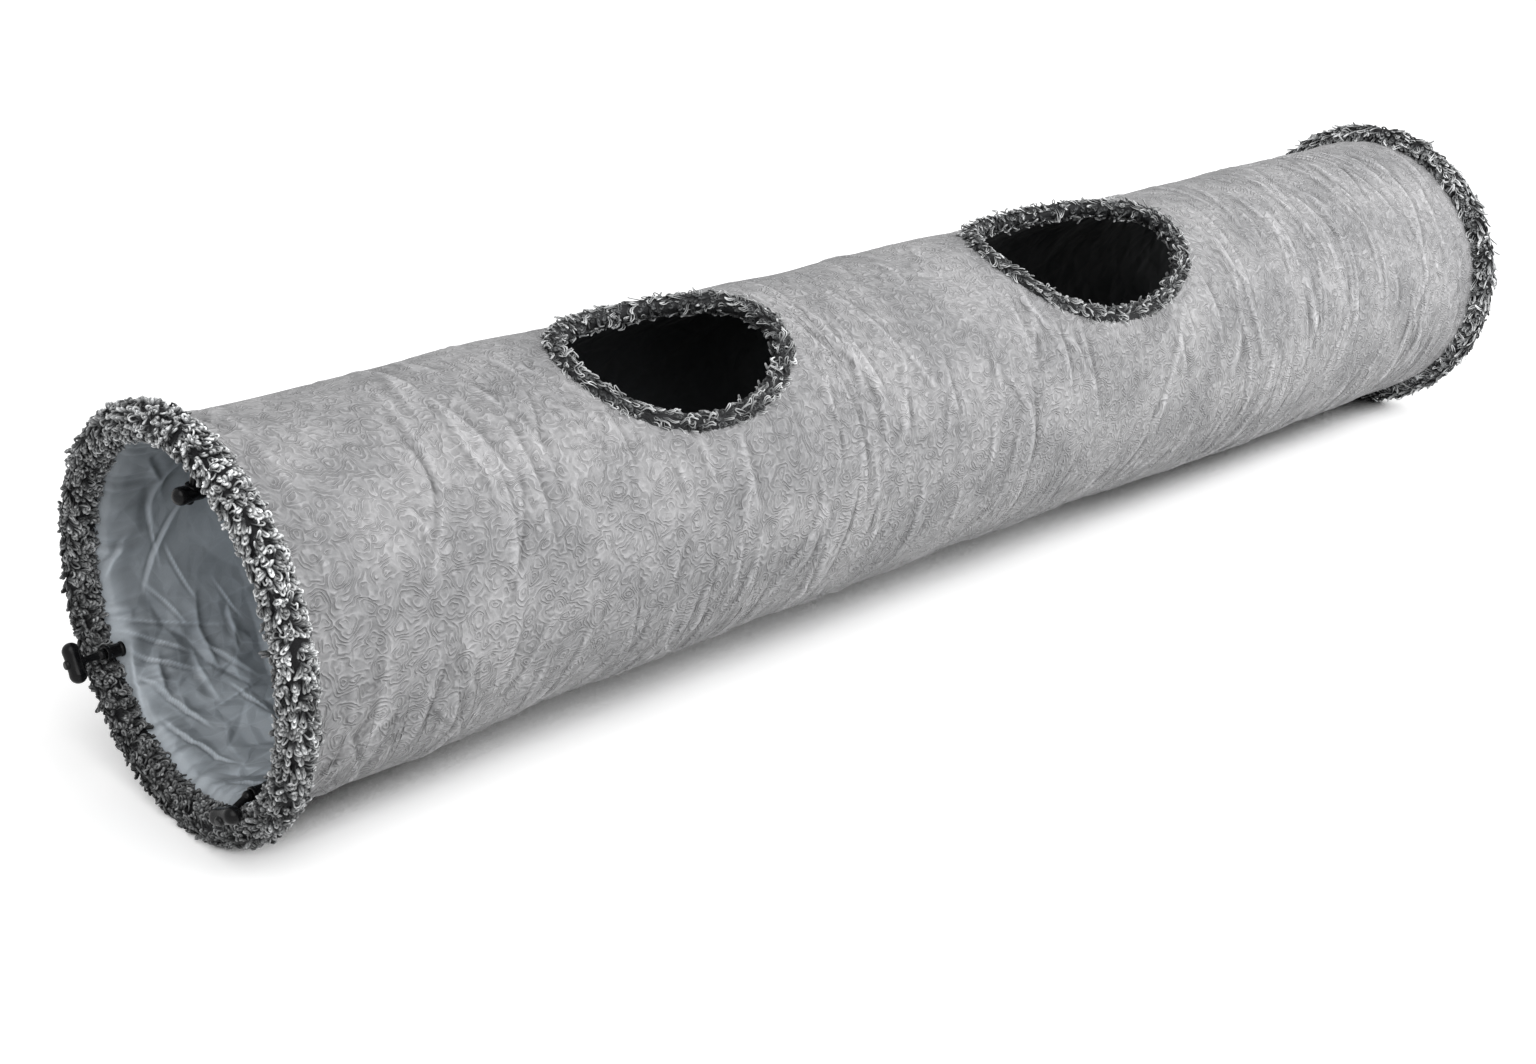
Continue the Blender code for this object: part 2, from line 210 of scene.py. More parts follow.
FINE_CURLS = dict(
    THICK_LOOPS, step=0.0056, height=(0.0100, 0.0170), spread=(0.0006, 0.0016), lean=(0.16, 0.30),
    yarn=(0.00042, 0.00060), roll=0.7, comb=0.30, unruly=0.35, curl=0.0022, wave=0.0012,
    strands=(1.0,), points=13, sides=5, tip=(0.52, 1.28), shade=0.2)
HOLE_CURLS = dict(
    FINE_CURLS, step=0.0046, height=(0.0070, 0.0130), spread=(0.0005, 0.0014), lean=(0.26, 0.44),
    yarn=(0.00036, 0.00052), unruly=0.6, curl=0.0014, wave=0.0014, points=12, sides=4)
# Bare is the middle and half width of the side against the cloth. Angles run round the roll.
NEAR_RIM = {
    "kinds": (THICK_LOOPS, OPEN_LOOPS), "core": RIM_CORE_RADIUS, "core_tip": 0.0,
    "bare": (math.radians(-122), math.radians(24)), "parting": math.radians(50),
    "downwards": True, "level": 0.84, "painted_side_light": 0.30,
}
FAR_RIM = dict(NEAR_RIM, kinds=(DARK_LOOPS, FINE_CURLS), level=1.14, painted_side_light=0.0)
HOLE_RING = {
    "kinds": (SHORT_LOOPS, HOLE_CURLS), "core": HOLE_CORE_RADIUS, "core_tip": 0.10,
    "bare": (math.radians(-98), math.radians(26)), "parting": 0.0,
    "downwards": False, "level": 0.84, "painted_side_light": 0.0,
}

# Light.
LIGHT_FROM = (-0.14, -0.74, 1.0)
LIGHT_BREADTH = math.radians(62)
LIGHT_POWER = 2.09
FILL_PLACE, FILL_AIM = Vector((1.75, -1.50, 0.80)), Vector((1.15, 0.0, 0.12))
FILL_SIZE = 1.6
FILL_POWER = 13.0
SKY_LEVEL = 0.48
FLOOR_BOUNCE = 0.60
FLOOR_GLOW = 0.25                    # of the open floor, for the camera
GLOW_FROM = (0.147, 0.200)           # openness to the sky
SHADOW_REACH = 0.35
SKY_RAYS = 20
# Of the floor's painted shadow: openness to the sky, level.
CONTACT_SHADE = ((0.095, 0.02), (0.130, 0.34), (0.160, 0.97), (0.170, 1.0))

# Camera, fitted to the photograph.
CAMERA_TARGET = Vector((0.5059, 0.0384, 0.0920))
CAMERA_DISTANCE = 1.6023
CAMERA_AZIMUTH = -0.7757
CAMERA_ELEVATION = 0.3697
CAMERA_ROLL = 0.0337
CAMERA_LENS = 49.70
CAMERA_SHIFT = (0.0030, -0.0390)


# Shapes on the tunnel.

CORNERS = ((0, 0), (0, 1), (1, 1), (1, 0))    # of a face, as steps from its first ring and side


def smoothstep(low, high, value):
    share = np.clip((value - low) / (high - low), 0, 1)
    return share * share * (3 - 2 * share)


def bell(offset, width):
    return np.exp(-(offset / width) ** 2)


def ridge(offset, sharp, sharp_width, soft_width):
    """1 at no offset, falling quickly where sharp is true and slowly elsewhere."""
    return np.exp(-np.where(sharp, (offset / sharp_width) ** 2, np.abs(offset) / soft_width))


def wrap(angle):
    """The same angle between -pi and pi."""
    return (angle + math.pi) % (2 * math.pi) - math.pi


def circle(count):
    """Equally spaced angles all the way round."""
    return np.arange(count) * 2 * math.pi / count


def unit(vectors):
    return vectors / np.linalg.norm(vectors, axis=-1, keepdims=True)


def below(clock, start, end):
    """0 on the upper part of the tunnel and 1 on the lower, between two angles in degrees."""
    return smoothstep(math.radians(start), math.radians(end), np.abs(clock))


def on_tunnel(place, clock, radius):
    """Points at a place along the tunnel and a clock angle from the top towards -Y."""
    place, clock, radius = np.broadcast_arrays(place, clock, radius)
    hanging = smoothstep(*HANGS_FROM, place) * (1 - smoothstep(*HANGS_TO, place))
    radius = radius - DRAWN_IN * hanging
    height = AXIS_HEIGHT + RAISED * hanging
    return np.stack([place, -radius * np.sin(clock), height + radius * np.cos(clock)], axis=-1)


def tunnel_frame(clock, place, radius):
    """A frame on the tunnel with X along it and Z pointing outwards."""
    spot = Vector(on_tunnel(place, clock, radius).tolist())
    return Matrix.Translation(spot) @ Matrix.Rotation(clock, 4, "X")


def hole_outline(hole, around):
    """Place and clock of points on a hole's middle line."""
    place, half_length, half_width = hole
    clock = HOLE_CLOCK + half_width * np.sin(around) / WALL_MIDDLE
    return place + half_length * np.cos(around), clock


def hole_distance(hole, place, clock):
    """About how far points lie outside a hole's middle line."""
    middle, half_length, half_width = hole
    across = wrap(clock - HOLE_CLOCK) * WALL_MIDDLE / half_width
    along = (place - middle) / half_length
    reach = np.hypot(across, along)
    slope = np.hypot(across / half_width, along / half_length) / np.maximum(reach, 1e-6)
    return (reach - 1) / np.maximum(slope, 1e-6)


# Meshes.

def new_piece(name, points, faces, material):
    """A smooth mesh object from arrays of points and of faces with equally many corners."""
    mesh = bpy.data.meshes.new(name)
    points, faces = np.asarray(points, dtype=np.float32), np.asarray(faces, dtype=np.int32)
    mesh.vertices.add(len(points))
    mesh.vertices.foreach_set("co", points.ravel())
    mesh.loops.add(faces.size)
    mesh.loops.foreach_set("vertex_index", faces.ravel())
    mesh.polygons.add(len(faces))
    starts = np.arange(len(faces), dtype=np.int32) * faces.shape[1]
    mesh.polygons.foreach_set("loop_start", starts)
    mesh.polygons.foreach_set("use_smooth", np.full(len(faces), True))
    mesh.update(calc_edges=True)
    mesh.materials.append(material)
    piece = bpy.data.objects.new(name, mesh)
    bpy.context.scene.collection.objects.link(piece)
    return piece


def place_piece(piece, frame_matrix, body, node=None):
    """Puts a piece in its frame, hides the model's part that it stands in for and makes it move
    with a body.
    """
    piece.matrix_world = frame_matrix
    if node:
        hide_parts(node)
    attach(piece, body)


def set_uv(piece, uv):
    """One pair for each face corner, in metres on the cloth."""
    layer = piece.data.uv_layers.new(name="cloth")
    layer.data.foreach_set("uv", np.asarray(uv, dtype=np.float32).ravel())


def set_value(piece, name, values):
    """One number for each point."""
    layer = piece.data.attributes.new(name, "FLOAT", "POINT")
    layer.data.foreach_set("value", np.asarray(values, dtype=np.float32).ravel())


def join_parts(parts):
    """One array of points and one of faces from several."""
    points, faces, count = [], [], 0
    for part_points, part_faces in parts:
        points.append(part_points)
        faces.append(part_faces + count)
        count += len(part_points)
    return np.concatenate(points), np.concatenate(faces)


def tube_faces(rings, sides, closed=False):
    """Quads between rings of points, row after row."""
    ring = np.arange(rings if closed else rings - 1)[:, None]
    side = np.arange(sides)[None, :]
    corners = [(ring + r) % rings * sides + (side + s) % sides for r, s in CORNERS]
    return np.stack(corners, axis=-1).reshape(-1, 4)


def tube(path, radius, sides):
    """Points and faces of a tube along a path of points."""
    path = np.asarray(path, dtype=float)
    along = unit(np.gradient(path, axis=0))
    side = np.cross(along, (1.0, 0.0, 0.0))
    weak = np.linalg.norm(side, axis=1) < 0.3
    side[weak] = np.cross(along[weak], (0.0, 0.0, 1.0))
    side = unit(side)
    turn = circle(sides)[:, None]
    ring = side[:, None] * np.cos(turn) + np.cross(along, side)[:, None] * np.sin(turn)
    return (path[:, None] + radius * ring).reshape(-1, 3), tube_faces(len(path), sides)


def lathe(profile, steps):
    """Points and faces of (place, radius) pairs turned round local X."""
    place, radius = np.asarray(profile, dtype=float).T[:, :, None]
    turn = circle(steps)
    points = np.stack(np.broadcast_arrays(place, radius * np.cos(turn), radius * np.sin(turn)), -1)
    return points.reshape(-1, 3), tube_faces(len(profile), steps)


def rounded(profile, radius, steps=4):
    """The profile with its inner corners rounded off."""
    result = [profile[0]]
    for before, corner, after in zip(profile, profile[1:], profile[2:]):
        corner = Vector(corner)
        back, on = Vector(before) - corner, Vector(after) - corner
        reach = min(radius, 0.45 * back.length, 0.45 * on.length)
        start, end = corner + back.normalized() * reach, corner + on.normalized() * reach
        for i in range(steps + 1):
            t = i / steps
            result.append(tuple(start * (1 - t) ** 2 + corner * 2 * t * (1 - t) + end * t ** 2))
    return result + [profile[-1]]


# Materials.

class Nodes:
    """The nodes of a new material, or of another holder, while they are laid out."""

    def __init__(self, name, holder=None):
        self.material = holder or bpy.data.materials.new(name)
        self.material.use_nodes = True
        self.tree = self.material.node_tree
        self.shader = self.tree.nodes.get("Principled BSDF")

    def put(self, value, socket):
        """Another node's output, a number or a colour into a socket."""
        if isinstance(value, bpy.types.NodeSocket):
            self.tree.links.new(value, socket)
        else:
            socket.default_value = value

    def add(self, kind, sockets, **settings):
        """A node with values for its sockets, by name or number, and settings."""
        node = self.tree.nodes.new(f"ShaderNode{kind}")
        for name, value in settings.items():
            setattr(node, name, value)
        for name, value in sockets.items():
            self.put(value, node.inputs[name])
        return node

    def math(self, operation, first, second=0.0):
        return self.add("Math", {0: first, 1: second}, operation=operation).outputs[0]

    def plus(self, total, value, factor):
        """The total plus the value times a factor."""
        return self.math("ADD", total, self.math("MULTIPLY", value, factor))

    def value(self, name):
        return self.add("Attribute", {}, attribute_name=name).outputs["Fac"]

    def place(self):
        return self.add("TexCoord", {}).outputs["Object"]

    def cloth(self, scale=(1, 1, 1), rotation=0.0):
        """Places on the flat cloth, stretched and turned."""
        source = self.add("UVMap", {}, uv_map="cloth").outputs[0]
        sockets = {"Vector": source, "Scale": scale, "Rotation": (0, 0, rotation)}
        return self.add("Mapping", sockets).outputs[0]

    def noise(self, vector, scale, detail=0.0, roughness=0.5, distortion=0.0, flat=True):
        sockets = {"Vector": vector, "Scale": scale, "Detail": detail, "Roughness": roughness,
                   "Distortion": distortion}
        node = self.add("TexNoise", sockets, noise_dimensions="2D" if flat else "3D")
        return node.outputs["Fac"]

    def bent(self, vector, scale, reach):
        """The vector moved about by noise."""
        node = self.add("TexNoise", {"Vector": vector, "Scale": scale}, noise_dimensions="2D")
        sockets = {0: node.outputs["Color"], 1: (reach, reach, 0), 2: vector}
        return self.add("VectorMath", sockets, operation="MULTIPLY_ADD").outputs[0]

    def cells(self, vector, scale, feature, output, **sockets):
        """Cells round random points, as a Voronoi texture's feature gives them."""
        sockets.update(Vector=vector, Scale=scale)
        node = self.add("TexVoronoi", sockets, voronoi_dimensions="2D", feature=feature)
        return node.outputs[output]

    def bands(self, vector, scale):
        node = self.add("TexWave", {"Vector": vector, "Scale": scale},
                        wave_type="BANDS", bands_direction="X")
        return node.outputs["Fac"]

    def span(self, value, low, high, to_low=0.0, to_high=1.0, shape="SMOOTHSTEP"):
        """The value's range from low to high carried over to another range."""
        sockets = {"Value": value, "From Min": low, "From Max": high, "To Min": to_low,
                   "To Max": to_high}
        return self.add("MapRange", sockets, interpolation_type=shape).outputs["Result"]

    def ramp(self, value, *stops):
        node = self.add("ValToRGB", {"Fac": value})
        while len(node.color_ramp.elements) < len(stops):
            node.color_ramp.elements.new(0.5)
        for element, (place, colour) in zip(node.color_ramp.elements, stops):
            element.position = place
            element.color = (*colour, 1.0)
        return node.outputs["Color"]

    def tint(self, colour, factor):
        """The colour times a number."""
        return self.add("VectorMath", {0: colour, "Scale": factor}, operation="SCALE").outputs[0]

    def bump(self, height, distance, **before):
        """Relief in metres over the shape, or over a bumped normal given as Normal."""
        sockets = {"Strength": 1.0, "Distance": distance, "Height": height, **before}
        return self.add("Bump", sockets).outputs["Normal"]

    def finish(self, **sockets):
        """The material, with values for the shader's sockets by name, _ for a space."""
        for name, value in sockets.items():
            self.put(value, self.shader.inputs[name.replace("_", " ")])
        return self.material


def cover_material():
    """Brushed pale grey cloth, embossed all over with small curls, with painted highlights and
    shadows along its folds and creases and painted shading by slope.
    """
    n = Nodes("brushed_cloth")
    cloth = n.cloth()
    drift = n.noise(cloth, 60, detail=2)
    clouds = n.noise(cloth, 17, detail=3, roughness=0.55)
    grain = n.noise(cloth, 800, detail=2, roughness=0.7)
    # Fine rings round random points, drawn out into curls where they meet.
    centres = n.cells(n.bent(cloth, 75, 0.011), 74, "SMOOTH_F1", "Distance", Smoothness=0.25)
    waver = n.math("MULTIPLY", n.noise(cloth, 62), 24.0)
    rings = n.math("SINE", n.math("ADD", n.math("MULTIPLY", centres, 30.0), waver))
    curls = n.math("MULTIPLY", n.math("ADD", rings, 1.0), 0.5)
    curls = n.math("SUBTRACT", n.math("POWER", curls, 1.4), 0.43)
    broken = n.span(n.noise(cloth, 150, detail=1), 0.30, 0.60, 0.25, 1.0)
    curls = n.math("MULTIPLY", curls, broken)
    # Faint folds round the tunnel, bumped and painted: a pale line, a painted highlight, with a
    # dark trough beside it, a painted shadow.
    folds = n.noise(n.cloth(scale=(1.0, 0.085, 1.0)), 80, detail=1.2, roughness=0.6,
                    distortion=0.5)
    line, trough = (n.math("ABSOLUTE", n.math("SUBTRACT", folds, at)) for at in (0.5, 0.55))
    folds = n.math("SUBTRACT", n.span(line, 0.0, 0.034, 1.0, 0.0),
                   n.span(trough, 0.0, 0.05, 0.6, 0.0))
    folds = n.math("MULTIPLY", folds, n.value("creased"))
    tone = n.span(clouds, 0.3, 0.7, 0.88, 1.10)
    # Painted light joins the tone: the folds' painted highlights and shadows, painted shading by
    # slope, and the creases' painted highlights and shadows.
    for value, factor in ((curls, 0.44), (folds, 0.30), (n.value("slope_shading"), 0.16),
                          (n.value("crest"), 0.40)):
        tone = n.plus(tone, value, factor)
    tone = n.math("ADD", tone, n.span(grain, 0.2, 0.8, -0.05, 0.05))
    tone = n.math("ADD", tone, n.span(drift, 0.3, 0.7, -0.04, 0.04))
    base = n.ramp(clouds, (0.3, (0.352, 0.352, 0.360)), (0.7, (0.370, 0.368, 0.374)))
    normal = n.bump(folds, 0.0006)
    normal = n.bump(curls, 0.00090, Normal=normal)
    normal = n.bump(grain, 0.00010, Normal=normal)
    return n.finish(Base_Color=n.tint(base, tone), Normal=normal, Roughness=0.88,
                    Sheen_Weight=0.12, Sheen_Roughness=0.45, Specular_IOR_Level=0.25)


def lining_material():
    """Smooth blue-grey woven lining with a soft gloss, with painted shade away from the mouths and
    painted light and shade on its folds and facets.
    """
    n = Nodes("satin_lining")
    cloth = n.cloth()
    weave = n.noise(n.cloth(scale=(1.0, 0.25, 1.0)), 2200, detail=1)
    clouds = n.noise(cloth, 14, detail=2)
    lit, crumpled = n.value("lit"), n.value("crumpled")
    tone = n.span(clouds, 0.3, 0.7, 0.93, 1.07)
    # Painted highlights along the creases with painted shadows beside them, and painted shading by
    # slope.
    for value, factor in ((n.value("crest"), 0.42), (n.value("slope_shading"), 0.28)):
        tone = n.plus(tone, value, factor)
    normal = n.bump(weave, 0.00006)
    # Crumpled facets, each painted lighter or darker as if lit at its own slant, with a painted
    # highlight along its edges; the edges are bumped too.
    for scale, contrast, depth in ((26, 0.15, 0.0022), (58, 0.08, 0.0009)):
        bent = n.bent(cloth, 30, 0.012)
        facet = n.cells(bent, scale, "F1", "Color")
        edge = n.cells(bent, scale, "DISTANCE_TO_EDGE", "Distance")
        facet_light = n.math("ADD", n.span(facet, 0.0, 1.0, -contrast, contrast),
                       n.span(edge, 0.0, 0.05, contrast, 0.0))
        tone = n.plus(tone, facet_light, crumpled)
        height = n.math("MULTIPLY", n.span(edge, 0.0, 0.35), crumpled)
        normal = n.bump(height, depth, Normal=normal)
    tone = n.math("ADD", tone, n.span(weave, 0.2, 0.8, -0.03, 0.03))
    # The lit value paints shade deep inside and under the top, and light farther from the mouths.
    tone = n.math("MULTIPLY", tone, lit)
    base = n.ramp(clouds, (0.3, (0.438, 0.478, 0.516)), (0.7, (0.460, 0.500, 0.535)))
    rough = n.math("ADD", n.span(clouds, 0.3, 0.7, 0.36, 0.46), n.span(lit, 0.0, 1.0, 0.5, 0.0))
    return n.finish(Base_Color=n.tint(base, tone), Roughness=rough, Normal=normal,
                    Specular_IOR_Level=0.35, Sheen_Weight=0.04, Sheen_Roughness=0.4)


def pile_material():
    """Looped yarn, its colour set by a level that mixes the yarn's own tone with painted light and
    shade: pale on the outer side of each loop, dark down in the pile.
    """
    n = Nodes("looped_yarn")
    fluff = n.noise(n.place(), 1500, detail=2, flat=False)
    level = n.math("ADD", n.value("tip"), n.span(fluff, 0.2, 0.8, -0.08, 0.08))
    colour = n.ramp(level, (0.0, (0.006, 0.006, 0.007)), (0.38, (0.058, 0.060, 0.062)),
                    (0.75, (0.300, 0.306, 0.310)), (1.0, (0.720, 0.730, 0.735)))
    return n.finish(Base_Color=n.tint(colour, n.value("shade")), Normal=n.bump(fluff, 0.0002),
                    Roughness=0.60, Sheen_Weight=0.06, Sheen_Roughness=0.4,
                    Specular_IOR_Level=0.16)


def moulded_material():
    """Glossy black moulded plastic."""
    n = Nodes("black_moulding")
    skin = n.noise(n.place(), 700, detail=2, flat=False)
    marks = n.noise(n.place(), 180, detail=3, flat=False)
    colour = n.ramp(marks, (0.3, (0.004, 0.004, 0.0045)), (0.7, (0.007, 0.007, 0.0075)))
    return n.finish(Base_Color=colour, Roughness=n.span(marks, 0.3, 0.7, 0.20, 0.32),
                    Normal=n.bump(skin, 0.00003), Specular_IOR_Level=0.16)


def steel_material():
    """Drawn spring steel wire."""
    n = Nodes("drawn_wire")
    lines = n.noise(n.place(), 900, detail=3, flat=False)
    colour = n.ramp(lines, (0.3, (0.40, 0.41, 0.43)), (0.7, (0.52, 0.53, 0.55)))
    return n.finish(Base_Color=colour, Roughness=n.span(lines, 0.2, 0.8, 0.25, 0.42),
                    Normal=n.bump(lines, 0.00004), Metallic=1.0)


def braid_material():
    """Black braided elastic: two sets of ribs that cross."""
    n = Nodes("braided_elastic")
    weave = n.math("MAXIMUM", *(n.bands(n.cloth(rotation=turn), 330) for turn in (0.85, -0.85)))
    colour = n.ramp(weave, (0.2, (0.006, 0.006, 0.007)), (1.0, (0.030, 0.030, 0.032)))
    return n.finish(Base_Color=colour, Normal=n.bump(weave, 0.0003), Roughness=0.75,
                    Sheen_Weight=0.2, Sheen_Roughness=0.5)


def tape_material():
    """Ribbed black tape."""
    n = Nodes("ribbed_tape")
    threads = n.noise(n.place(), 2500, detail=1, flat=False)
    level = n.math("ADD", n.math("MULTIPLY", n.bands(n.place(), 420), 0.7),
                   n.math("MULTIPLY", threads, 0.3))
    colour = n.ramp(level, (0.1, (0.012, 0.012, 0.013)), (0.9, (0.045, 0.045, 0.048)))
    return n.finish(Base_Color=colour, Normal=n.bump(level, 0.0002), Roughness=0.8,
                    Sheen_Weight=0.15)


# Cloth.

def waves(rng, place, clock, height, count, length, turns, low_share=0.5):
    """A smooth random field about as high as height that closes on itself round the tunnel."""
    field = np.zeros(np.broadcast(place, clock).shape)
    for _ in range(count):
        rate = 2 * math.pi / length * rng.uniform(low_share, 1.0) * rng.choice((-1, 1))
        around = rng.integers(0, turns + 1) * rng.choice((-1, 1))
        field += np.cos(rate * place + around * clock + rng.uniform(0, 2 * math.pi))
    return height * (field / math.sqrt(count / 2) / 2)


def wire_phase(place, clock):
    """0 on the wire inside the wall, rising to 1 over one turn."""
    turns = np.interp(place, TURN_PLACES, range(len(TURN_PLACES)))
    return (turns - ((clock - COIL_CLOCK) % (2 * math.pi)) / (2 * math.pi)) % 1.0


def between_wires(phase):
    """0 on the wire and 1 half way to its next turn."""
    return 0.5 * (1 - np.cos(2 * math.pi * phase))


def inside_holes(place, clock):
    """Whether points lie in the part of a hole that no cloth covers."""
    return np.minimum(*(hole_distance(hole, place, clock) for hole in HOLES)) < HOLE_EDGE


class Cloth:
    """A grid of points round the tunnel that gathers its folds before it becomes a mesh."""

    def __init__(self, places, step):
        self.columns = round(2 * math.pi * COVER_RADIUS / step)
        self.place = np.asarray(places)[:, None]
        self.rows = len(self.place)
        self.clock = (circle(self.columns) - math.pi)[None, :]
        self.lift = np.zeros((self.rows, self.columns))
        # Painted highlight along each crease and painted shadow beside it, for the colour.
        self.crest = np.zeros((self.rows, self.columns))

    def stroke(self, place, clock, slant, length, width, height, bend, skew, soft=1.5):
        """A crease that fades at both ends, sharp with a trough on one side, soft on the other."""
        reach = length / 2 + 2.7 * soft * width
        first, last = np.searchsorted(self.place[:, 0], (place - reach, place + reach))
        if first >= last:
            return
        column_span = int(reach / COVER_RADIUS * self.columns / (2 * math.pi)) + 1
        centre = int(round((clock + math.pi) / (2 * math.pi) * self.columns))
        columns = np.arange(centre - column_span, centre + column_span + 1) % self.columns
        along_tunnel = self.place[first:last] - place
        along_arc = wrap(self.clock[:, columns] - clock) * COVER_RADIUS
        along = along_arc * math.cos(slant) + along_tunnel * math.sin(slant)
        across = along_tunnel * math.cos(slant) - along_arc * math.sin(slant)
        share = 2 * along / length
        across = across - bend * (1 - share ** 2)
        fade = np.clip(1 - share ** 2, 0, 1) ** 1.5
        sharp = across * skew > 0
        thin = width * 1.5 / soft
        crest = ridge(across, sharp, 0.7 * width, soft * width)
        line = ridge(across, sharp, 0.6 * thin, 1.1 * thin)
        trough = bell(across - skew * 1.9 * thin, 1.5 * thin)
        rows = np.arange(first, last)[:, None]
        self.lift[rows, columns] += height * fade * (crest - 0.45 * trough)
        # Painted highlight along the crease's line and painted shadow in its trough.
        self.crest[rows, columns] += fade * (line - 0.55 * trough)

    def fold(self, start, end, width, height, bend):
        """A crease between two points, each a place and degrees round."""
        (first_place, first_turn), (last_place, last_turn) = start, end
        run = last_place - first_place
        arc = math.radians(last_turn - first_turn) * COVER_RADIUS
        middle = math.radians((first_turn + last_turn) / 2)
        self.stroke((first_place + last_place) / 2, middle, math.atan2(run, arc),
                    1.35 * math.hypot(run, arc), width, height, bend, 1, soft=2.6)

    def build(self, name, material, radius):
        """The mesh, open at the holes, with its maps and values."""
        points = on_tunnel(self.place, self.clock, radius).reshape(-1, 3)
        turn = 2 * math.pi / self.columns
        column = np.arange(self.columns)
        corners = [np.broadcast_arrays(self.place[r:self.rows - 1 + r],
                                       (column + c) * turn - math.pi) for r, c in CORNERS]
        place, clock = np.stack(corners, axis=-1).reshape(2, -1, 4)
        keep = ~inside_holes(place.mean(axis=-1), clock.mean(axis=-1))
        used, faces = np.unique(tube_faces(self.rows, self.columns)[keep], return_inverse=True)
        piece = new_piece(name, points[used], faces.reshape(-1, 4), material)
        set_uv(piece, np.stack([place[keep], clock[keep] * COVER_RADIUS], axis=-1))
        set_value(piece, "crest", self.crest.ravel()[used])
        # Painted shading: where the cloth slopes one way it is painted lighter, the other way
        # darker, as if lit from one side.
        along, round_it = np.gradient(self.lift, self.place[:, 0], turn * COVER_RADIUS)
        slope_shading = np.clip((0.9 * along + 0.45 * round_it) / STEEP, -1, 1)
        set_value(piece, "slope_shading", slope_shading.ravel()[used])
        return piece, used


def scatter_strokes(cloth, rng, share, count, length, width, height):
    """Seeded creases, more of them where share is high."""
    placed = 0
    while placed < count:
        place, clock = rng.uniform(0.02, RIM_SPACING - 0.02), rng.uniform(-math.pi, math.pi)
        row = np.searchsorted(cloth.place[:, 0], place)
        column = int((clock + math.pi) / (2 * math.pi) * cloth.columns) % cloth.columns
        if rng.random() > share[row, column]:
            continue
        slant, size = rng.normal(CREASE_SLANT, 0.20), rng.uniform(0.45, 1.0)
        reach, thick = rng.uniform(*length) * size, rng.uniform(*width)
        tall, bend = rng.uniform(*height) * size, rng.normal(0, 0.006) * size
        skew = rng.choice((-1, 1))
        cloth.stroke(place, clock, slant, reach, thick, tall, bend, skew)
        fork = slant + rng.uniform(0.15, 0.45) * rng.choice((-1, 1))
        way = rng.choice((-0.3, 0.3)) * reach
        if rng.random() < FORKED:
            place, clock = place + way * math.sin(fork), clock + way * math.cos(fork) / COVER_RADIUS
            cloth.stroke(place, clock, fork, 0.7 * reach, thick, 0.8 * tall, bend, -skew)
        placed += 1


def declare_cloth(name):
    """Hides the model's bays of the cloth."""
    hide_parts(*(f"{name}_bay_{i}" for i in range(1, BAYS + 1)))


def creased_share(rng, place, clock):
    """How creased the cover is, 0 to 1: most low down, round the holes and at the far end."""
    ends = np.zeros(np.broadcast(place, clock).shape)
    for hole in HOLES:
        beside = smoothstep(0.75, 1.3, np.abs(place - hole[0]) / hole[1])
        ends = np.maximum(ends, bell(hole_distance(hole, place, clock), HOLE_REACH) * beside)
    patches = smoothstep(-0.5, 0.8, waves(rng, place, clock, *COVER_PATCHES))
    share = (ALL_OVER + LOW_DOWN * below(clock, *CREASED_BELOW) + HOLE_ENDS * ends
             + FAR_END * smoothstep(0.45, 1.0, place))
    return np.clip(share * (0.45 + 0.75 * patches), 0, 1)


def make_cover(material):
    """The outer cloth, drawn over the wire and cut open at the two holes."""
    rng = np.random.default_rng(11)
    rows = round((RIM_SPACING - 2 * COVER_END) / COVER_STEP[0]) + 1
    cloth = Cloth(np.linspace(COVER_END, RIM_SPACING - COVER_END, rows), COVER_STEP[1])
    place, clock = cloth.place, cloth.clock
    share = creased_share(rng, place, clock)
    phase = wire_phase(place, clock)
    cloth.lift += WIRE_SHOWS[0] * bell(np.minimum(phase, 1 - phase), WIRE_SHOWS[1])
    cloth.lift -= COVER_SAG * between_wires(phase)
    cloth.lift += waves(rng, place, clock, *COVER_RIPPLES)
    cloth.lift += below(clock, *BILLOWS_BELOW) * waves(rng, place, clock, *COVER_BILLOWS)
    ridges = 1 - np.abs(waves(rng, place, clock, *COVER_RIDGES))
    cloth.lift += RIDGE_HEIGHT * share * np.clip(ridges, -0.4, 1)
    scatter_strokes(cloth, rng, share, *COVER_CREASES)
    scatter_strokes(cloth, rng, np.full_like(share, FAINTLY), *FAINT_CREASES)
    rim_gap = np.minimum(place, RIM_SPACING - place)
    cloth.lift += waves(rng, place, clock, *COVER_GATHERS) * bell(rim_gap - 0.008, 0.012)
    from_seam = place - SEAM_PLACE - waves(rng, place, clock, *SEAM_WANDER)
    seam = ridge(from_seam, from_seam < 0, *SEAM_WIDTHS)
    cloth.lift += SEAM_HEIGHT * seam
    # A painted highlight along the seam's ridge, with a painted shadow just on its near-rim side.
    cloth.crest += 0.40 * seam - 0.25 * bell(from_seam + 0.0028, 0.0018)
    for hole in HOLES:
        calm = smoothstep(0.006, 0.022, hole_distance(hole, place, clock))
        cloth.lift *= calm
        cloth.crest *= calm
    lift = np.clip(cloth.lift, *COVER_LIFT)
    cover, used = cloth.build("plush_cover", material, COVER_RADIUS + lift)
    set_value(cover, "creased", share.ravel()[used])
    declare_cloth("cover")
    return cover


